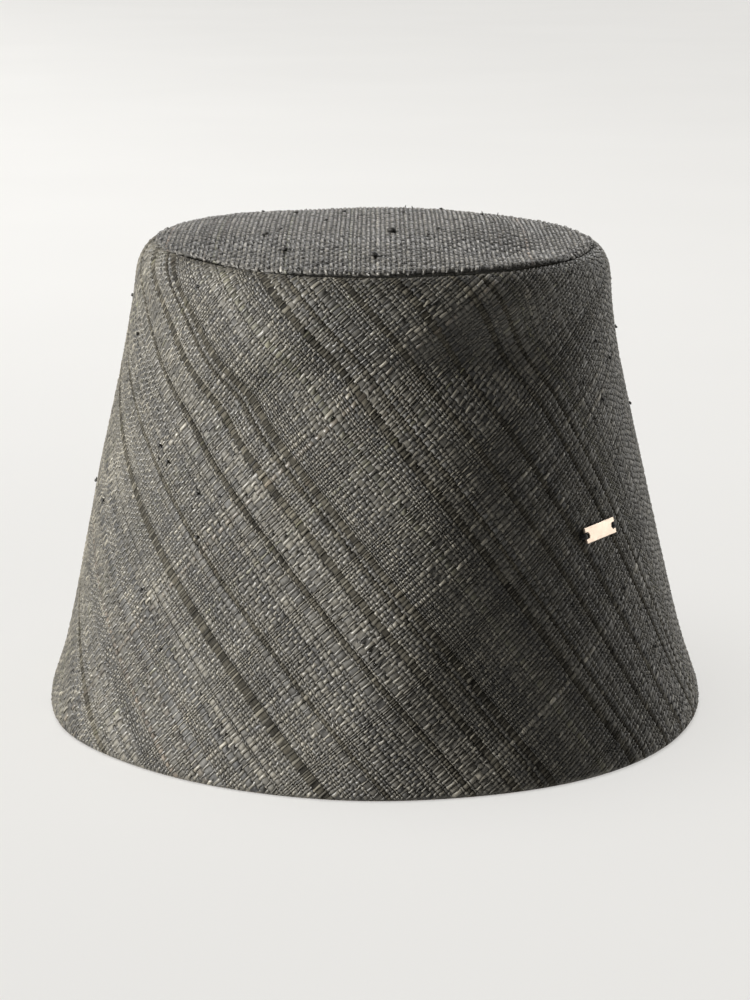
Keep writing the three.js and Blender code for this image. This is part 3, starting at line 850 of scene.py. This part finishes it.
def side_shell():
    zs = np.concatenate([np.linspace(0.75, 24, 14), np.linspace(29, 132, 26), np.linspace(135, SEAM_Z - 0.15, 10)])
    rows, kinds, heights = [], [], []
    skin_out, skin_in = 0.55, STRAW
    mid, rad = (skin_out + skin_in) / 2, (skin_in - skin_out) / 2
    for z in zs:
        zz = np.full(AROUND, z)
        rows.append(wall_point(ring_phi, zz) - wall_normal(ring_phi, zz) * skin_out)
        kinds.append(0)
        heights.append(z)
    for z in zs[::-1]:
        zz = np.full(AROUND, z)
        rows.append(wall_point(ring_phi, zz) - wall_normal(ring_phi, zz) * skin_in)
        kinds.append(1)
        heights.append(z)
    zz = np.full(AROUND, zs[0])
    p, n = wall_point(ring_phi, zz), wall_normal(ring_phi, zz)
    across = wall_point(ring_phi + 0.004, zz) - wall_point(ring_phi - 0.004, zz)
    down = unit(np.cross(n, across))
    down = np.where(down[:, 2:3] > 0, -down, down)
    for ang in np.radians([155, 128, 104, 80, 54, 27]):
        row = p - n * mid + rad * (math.cos(ang) * n + math.sin(ang) * down)
        row[:, 2] = np.maximum(row[:, 2], 0.0)
        rows.append(row)
        kinds.append(2)
        heights.append(0.0)
    rings = np.array(rows)
    lowest = rings[..., 2].min()
    low_rows = [k for k, kind in enumerate(kinds) if kind == 2]
    for k in low_rows:
        rings[k, :, 2] -= lowest
    quads = ring_band(rings, True)
    count = len(rings)
    row_of, col_of = quads // AROUND, quads % AROUND
    # corner values that run on past the join at the back
    wrap = (col_of == 0) & ((col_of.max(1) == AROUND - 1)[:, None])
    phi = ring_phi[col_of] + np.where(wrap, 2 * math.pi, 0)
    hz = np.array(heights)[row_of]
    u, v = lay_flat(phi, hz)
    ab = np.stack([u, v], -1) @ SKEW.T
    weave_uv = np.stack([strand_index(side_data["a_lines"], ab[..., 0]), strand_index(side_data["b_lines"], ab[..., 1])], -1)
    kind = np.array(kinds)[row_of]
    # the bake layout: one strip for the whole loop
    bake = np.stack([(phi + math.pi) / (2 * math.pi), 0.005 + 0.99 * np.where(row_of == 0, np.where(row_of.max(1) == count - 1, count, 0)[:, None], row_of) / count], -1)
    tint = np.full(quads.shape + (3,), 1.0)
    lip = (hz < 1.0) & (kind != 1) | (kind == 2)
    tint[lip] = (0.95, 0.72, 0.58)
    # the outer skin, seen only through gaps in the weave, is darkened: painted shade
    tint[(kind == 0) & ~lip] = (0.55, 0.55, 0.55)
    return make_mesh("side_shell", rings.reshape(-1, 3), quads, inner_straw, tint=tint.reshape(-1, 3),
                     uvs={"OFBake": bake.reshape(-1, 2), "weave": weave_uv.reshape(-1, 2)})


def tip_shell():
    reaches = np.concatenate([np.linspace(0.999, 0.9, 6), np.linspace(0.86, 0.08, 22)])
    rows, kinds = [], []
    for r in reaches[::-1]:
        p = oval(TIP_A * r, ring_phi, 0)
        p[:, 2] = tip_height(p[:, 0], p[:, 1], r) - 0.50 - 0.1 * r
        rows.append(p)
        kinds.append(0)
    for r, lift in ((0.990, 0.95), (0.985, 1.35)):
        p = oval(TIP_A * r, ring_phi, 0)
        p[:, 2] = TIP_Z - lift + top_rise(p[:, 0], SEAM_Z)
        rows.append(p)
        kinds.append(1)
    for r in reaches[2:]:
        p = oval(TIP_IN_A * r, ring_phi, 0)
        p[:, 2] = tip_height(p[:, 0], p[:, 1], r) - STRAW
        rows.append(p)
        kinds.append(1)
    rings = np.array(rows)
    quads = ring_band(rings, False)
    verts = rings.reshape(-1, 3)
    top = np.array([[0, 0, float(tip_height(np.zeros(1), np.zeros(1), np.zeros(1))[0]) - 0.50]])
    bottom = top - [[0, 0, STRAW - 0.50]]
    verts = np.concatenate([verts, top, bottom])
    t, b = len(verts) - 2, len(verts) - 1
    k = np.arange(AROUND)
    n = (k + 1) % AROUND
    last = (len(rings) - 1) * AROUND
    fan_top = np.stack([n, k, np.full(AROUND, t)], -1)
    fan_low = np.stack([last + k, last + n, np.full(AROUND, b)], -1)
    faces = [f[:, ::-1] for f in (quads, fan_top, fan_low)]
    corner = np.concatenate([f.ravel() for f in faces])
    count = np.concatenate([np.full(f.size, 0) for f in faces])
    kind_v = np.concatenate([np.repeat(kinds, AROUND), [0, 1]])
    xy = verts[corner, :2]
    weave_uv = np.stack([strand_index(tip_data["a_lines"], xy[:, 1]), strand_index(tip_data["b_lines"], xy[:, 0])], -1)
    face_kind = np.concatenate([kind_v[f].max(1).repeat(f.shape[1]) for f in faces])
    shift = np.where(face_kind > 0, 0.75, 0.25)
    bake = np.stack([shift + xy[:, 0] / 290.0, 0.5 + xy[:, 1] / 290.0], -1)
    # the upper skin, seen only through gaps in the weave, is darkened: painted shade
    tint = np.where(face_kind[:, None] > 0, 1.05, 0.55) * np.ones((len(corner), 3))
    return make_mesh("tip_shell", verts, faces, inner_straw, tint=tint, uvs={"OFBake": bake, "weave": weave_uv})


shell_side = side_shell()
shell_tip = tip_shell()

# ---- the plate and its thread -----------------------------------------------------------------
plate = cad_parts["name_plate"]
plate.data.materials.clear()
plate.data.materials.append(plate_metal)



def tube(path, radii, sides=6):
    """A closed tapered tube: points, quads and the triangles of its two ends."""
    path = np.asarray(path, float)
    run = unit(np.gradient(path, axis=0))
    aside = np.cross(run[0], [0.31, 0.52, 0.79])
    if np.linalg.norm(aside) < 0.2:
        aside = np.cross(run[0], [0.9, -0.3, 0.1])
    aside = unit(aside)
    rows = []
    turns = 2 * math.pi * np.arange(sides) / sides
    for p, d, r in zip(path, run, radii):
        aside = unit(aside - d * (aside @ d))
        other = np.cross(d, aside)
        rows.append(p + r * (np.cos(turns)[:, None] * aside + np.sin(turns)[:, None] * other))
    n = len(rows)
    pts = np.concatenate(rows + [path[:1] - run[0] * radii[0] * 0.4, path[-1:] + run[-1] * radii[-1] * 0.4])
    k = np.arange(sides)
    nx = (k + 1) % sides
    quads = np.concatenate([np.stack([i * sides + k, i * sides + nx, (i + 1) * sides + nx, (i + 1) * sides + k], -1) for i in range(n - 1)])
    last = (n - 1) * sides
    tris = np.concatenate([
        np.stack([nx, k, np.full(sides, n * sides)], -1),
        np.stack([last + k, last + nx, np.full(sides, n * sides + 1)], -1),
    ])
    return pts, quads, tris


def join(parts):
    pts, quads, tris, start = [], [], [], 0
    for p, q, t in parts:
        pts.append(p)
        quads.append(q + start)
        tris.append(t + start)
        start += len(p)
    return np.concatenate(pts), [np.concatenate(quads), np.concatenate(tris)]


def plain_uv(pts, faces, size=260.0):
    corner = np.concatenate([f.ravel() for f in faces])
    return {"OFBake": np.stack([0.5 + pts[corner, 0] / size, 0.5 + (pts[corner, 1] + pts[corner, 2]) / (2 * size)], -1)}


def spot(phi_deg, z):
    """Place, outward direction, direction round the hat and direction up on the side."""
    phi, zz = np.array(math.radians(phi_deg)), np.array(float(z))
    p, n = wall_point(phi, zz), wall_normal(phi, zz)
    t = unit(wall_point(phi + 0.01, zz) - wall_point(phi - 0.01, zz))
    return p, n, t, np.cross(n, t)


def tip_spot(x, y):
    def h(x, y):
        return float(tip_height(np.array(x), np.array(y), np.hypot(x, y / OVAL) / TIP_A))
    e = 0.5
    n = unit(np.array([-(h(x + e, y) - h(x - e, y)) / (2 * e), -(h(x, y + e) - h(x, y - e)) / (2 * e), 1.0]))
    t = unit(np.array([1.0, 0, 0]) - n * n[0])
    return np.array([x, y, h(x, y)]), n, t, np.cross(n, t)


def knot(rng, place, size):
    """A strand end curled into a small knot, with one or two stubs."""
    p, n, t, u = place
    out = []
    turn0, turns = rng.uniform(0, 6.28), rng.uniform(1.0, 1.7)
    s = np.linspace(0, 1, 11)
    ang = turn0 + 2 * math.pi * turns * s
    rad = size * (0.42 - 0.22 * s) * rng.uniform(0.8, 1.2)
    squeeze = rng.uniform(0.6, 1.0)
    lift = 0.18 + size * (0.05 + 0.38 * np.sin(math.pi * s) ** 0.8)
    path = p + np.outer(rad * np.cos(ang), t) + np.outer(squeeze * rad * np.sin(ang), u) + np.outer(lift, n)
    out.append(tube(path, size * np.array([0.22, 0.3, 0.33, 0.33, 0.32, 0.34, 0.33, 0.3, 0.28, 0.22, 0.1])))
    for _ in range(int(rng.integers(1, 3))):
        a, reach = rng.uniform(0, 6.28), size * rng.uniform(0.8, 1.7)
        way = math.cos(a) * t + math.sin(a) * u
        s = np.linspace(0, 1, 5)
        path = p + np.outer(reach * s, way) + np.outer(0.28 + size * (0.5 * s - 0.35 * s**2) * rng.uniform(0.4, 1.2), n)
        out.append(tube(path, size * np.array([0.2, 0.2, 0.16, 0.12, 0.05]), 5))
    return out


def strand_end(rng, place, length, stand):
    """The loose end of a strand that stands off the cloth."""
    p, n, t, u = place
    a = rng.uniform(0, 6.28)
    way = math.cos(a) * t + math.sin(a) * u
    s = np.linspace(0, 1, 7)
    bend = rng.normal() * 0.3
    side = np.cross(n, way)
    path = p + np.outer(length * s * (1 - stand), way) + np.outer(0.05 + length * stand * s, n) + np.outer(length * bend * s * s, side)
    return tube(path, 0.24 * np.array([1, 1, 0.95, 0.85, 0.7, 0.5, 0.2]), 5)


# azimuth in degrees and height in mm, then size in mm
SIDE_KNOTS = [
    (-45, 139.5, 0.9), (-69.6, 121.6, 0.9), (-50.5, 92.6, 1.2), (-47, 88.7, 1.2), (-37.5, 81.5, 0.9),
    (-71.5, 69.4, 1.1), (-49.1, 50.1, 1.0), (-41.8, 34.5, 1.0), (-32.2, 81.8, 0.7), (-36.3, 69.1, 0.9),
    (61.3, 121.1, 0.9), (69, 114.4, 1.0), (52.7, 110.3, 0.8), (60.2, 103.7, 1.0), (51, 79.4, 0.9),
    (54.3, 48.6, 1.0), (60.9, 28.2, 1.0), (42.4, 7.5, 1.1), (-88, 129, 1.0), (-87, 70, 1.1), (86, 120, 1.0), (84, 96, 1.0),
]
TIP_KNOTS = [
    (-33.5, -27.5, 1.4), (-26.9, -52.2, 1.7), (5.2, -23, 2.2), (-0.3, -62.6, 2.1), (-17, -69.5, 1.2),
    (16.2, -29.4, 0.8), (-29.2, -18.1, 0.9), (19.5, -18.5, 1.1),
]
TIP_ENDS = [(10, 48, 1.2), (12.5, 49, 0.9), (36, 53, 1.1), (41, 51, 1.2), (-23, 54, 0.7)]
_rng = np.random.default_rng(61)
bits = []
for phi_deg, z, size in SIDE_KNOTS:
    bits += knot(_rng, spot(phi_deg, z), size)
for _ in range(34):
    bits += knot(_rng, spot(_rng.uniform(92, 268), _rng.uniform(8, 140)), _rng.uniform(0.6, 1.1))
for x, y, size in TIP_KNOTS:
    bits += knot(_rng, tip_spot(x, y), size)
for _ in range(9):
    bits += knot(_rng, tip_spot(_rng.uniform(-45, 45), _rng.uniform(5, 52)), _rng.uniform(0.6, 1.1))
for x, y, length in TIP_ENDS:
    bits.append(strand_end(_rng, tip_spot(x, y), length, 0.85))
for _ in range(46):
    bits.append(strand_end(_rng, spot(_rng.uniform(-180, 180), _rng.uniform(4, 142)), _rng.uniform(0.9, 1.7), 0.35))
knot_pts, knot_faces = join(bits)
knots = make_mesh("loose_knots", knot_pts, knot_faces, knot_straw, uvs=plain_uv(knot_pts, knot_faces))

# the plate is sewn on through the notches in its two ends
PLATE_PHI, PLATE_Z, PLATE_TILT, PLATE_HALF = 49.3, 67.4, 2.0, 8.2
_p, _away, _round, _up = spot(PLATE_PHI, PLATE_Z)
_round = unit(np.cross([0.0, 0.0, 1.0], _away))
_up = np.cross(_away, _round)
_tilt = math.radians(PLATE_TILT)
_along, _over = math.cos(_tilt) * _round + math.sin(_tilt) * _up, math.cos(_tilt) * _up - math.sin(_tilt) * _round
_p = _p + _away * GAP
stitches = []
for end in (-1, 1):
    for k, y0 in enumerate((-0.66, -0.22, 0.22, 0.66)):
        s = np.linspace(0, 1, 11)
        x = end * (PLATE_HALF - 1.55 + 0.2 * abs(y0) * -1 + (2.75 + 0.25 * _rng.normal()) * s)
        rise = -0.75 + 1.5 * np.sin(math.pi * s) ** 0.55 + 0.06 * _rng.normal()
        y = y0 * (1 - 0.25 * s) + 0.12 * np.sin(math.pi * s + k) * _rng.normal()
        path = _p + np.outer(x, _along) + np.outer(y, _over) + np.outer(rise, _away)
        stitches.append(tube(path, np.full(11, 0.23), 8))
stitch_pts, stitch_faces = join(stitches)
plate_thread = make_mesh("plate_stitches", stitch_pts, stitch_faces, thread_dark, uvs=plain_uv(stitch_pts, stitch_faces))

# ---- what rides on what -------------------------------------------------------------------------
for ob in woven + [tip_weave, shell_side, shell_tip, knots, plate_thread]:
    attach(ob, "root")
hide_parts("side_wall")
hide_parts("crown_tip")

# ---- floor, light and camera --------------------------------------------------------------------
floor_mat, nt, bsdf = node_material("floor_paper")
co = nt.nodes.new("ShaderNodeTexCoord")
grain = noise(nt, co.outputs["Object"], 3.0, 2.0)
link(nt, ramp(nt, grain, [(0.3, (0.86, 0.855, 0.84)), (0.7, (0.875, 0.87, 0.855))]), bsdf.inputs["Base Color"])
bsdf.inputs["Roughness"].default_value = 0.9
bsdf.inputs["Specular IOR Level"].default_value = 0.1
half = 12000.0
floor = make_mesh("floor", np.array([[-half, -half, 0], [half, -half, 0], [half, half, 0], [-half, half, 0]], float),
                  np.array([[0, 1, 2, 3]]), floor_mat)
floor.location.z = -0.0001
floor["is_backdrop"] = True

hat_set = bpy.data.collections.new("lit_hat")
floor_set = bpy.data.collections.new("lit_floor")
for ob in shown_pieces():
    hat_set.objects.link(ob)
floor_set.objects.link(floor)


def lamp(name, kind, where, energy, colour=(1, 1, 1), size=1.0, size_y=None, target=(0, 0, 0.08), only=None, angle=None):
    data = bpy.data.lights.new(name, kind)
    data.energy = energy
    data.color = colour
    if kind == "AREA":
        data.shape = "RECTANGLE"
        data.size = size
        data.size_y = size_y or size
    if angle is not None:
        data.angle = math.radians(angle)
    ob = bpy.data.objects.new(name, data)
    ob.location = where
    ob.rotation_mode = "QUATERNION"
    ob.rotation_quaternion = (Vector(target) - Vector(where)).to_track_quat("-Z", "Y")
    scene.collection.objects.link(ob)
    if only is not None:
        ob.light_linking.receiver_collection = only
    return ob


def around(azimuth, elevation, distance):
    """azimuth from the front towards +X, in degrees."""
    a, e = math.radians(azimuth), math.radians(elevation)
    return (distance * math.sin(a) * math.cos(e), -distance * math.cos(a) * math.cos(e), distance * math.sin(e) + 0.08)


lamp("key", "AREA", around(-65, 19, 1.7), 77.5, (1.0, 0.985, 0.96), 0.55, 0.55, only=hat_set)
lamp("back_top", "AREA", around(170, 40, 1.6), 18.0, (1.0, 0.985, 0.965), 1.2, 0.8, only=hat_set)
lamp("right_edge", "AREA", around(118, 11, 1.4), 8.4, (1.0, 0.98, 0.94), 0.5, 0.9, only=hat_set)
lamp("floor_sun", "SUN", (-0.4, -0.1, 3.0), 0.61, (1.0, 0.995, 0.985), angle=60, only=floor_set, target=(0, 0, 0))
even = lamp("floor_even", "SUN", (0, 0, 3.0), 1.79, (1.0, 0.995, 0.985), angle=60, only=floor_set, target=(0, 0, 0))
even.light_linking.blocker_collection = floor_set
strip = lamp("floor_left", "AREA", (-1.3, 3.7, 0.9), 10.5, (1.0, 0.992, 0.98), 0.5, 7.0, only=floor_set, target=(-1.3, 3.7, 0))
strip.rotation_quaternion = Vector((0, 0, -1)).to_track_quat("-Z", "Y")
strip.rotation_mode = "XYZ"
strip.rotation_euler = (0.0, 0.0, math.atan2(0.33, 1.0))
strip.light_linking.blocker_collection = floor_set
world = bpy.data.worlds.new("studio")
scene.world = world
world.use_nodes = True
world.node_tree.nodes["Background"].inputs[0].default_value = (1.0, 0.975, 0.94, 1.0)
world.node_tree.nodes["Background"].inputs[1].default_value = 0.135

cam_data = bpy.data.cameras.new("photo_camera")
cam_data.sensor_fit = "AUTO"
cam_data.sensor_width = 36.0
cam_data.lens = 101.41
cam_data.clip_start = 0.01
cam_data.clip_end = 60.0
cam = bpy.data.objects.new("photo_camera", cam_data)
cam.location = (0.0, -0.8893, 0.2617)
cam.rotation_euler = (math.pi / 2 - 0.220459, 0.0, 0.0)
scene.collection.objects.link(cam)
scene.camera = cam
scene.view_settings.view_transform = "Standard"
scene.view_settings.look = "None"
scene.view_settings.exposure = 0.0
scene.view_settings.gamma = 1.0
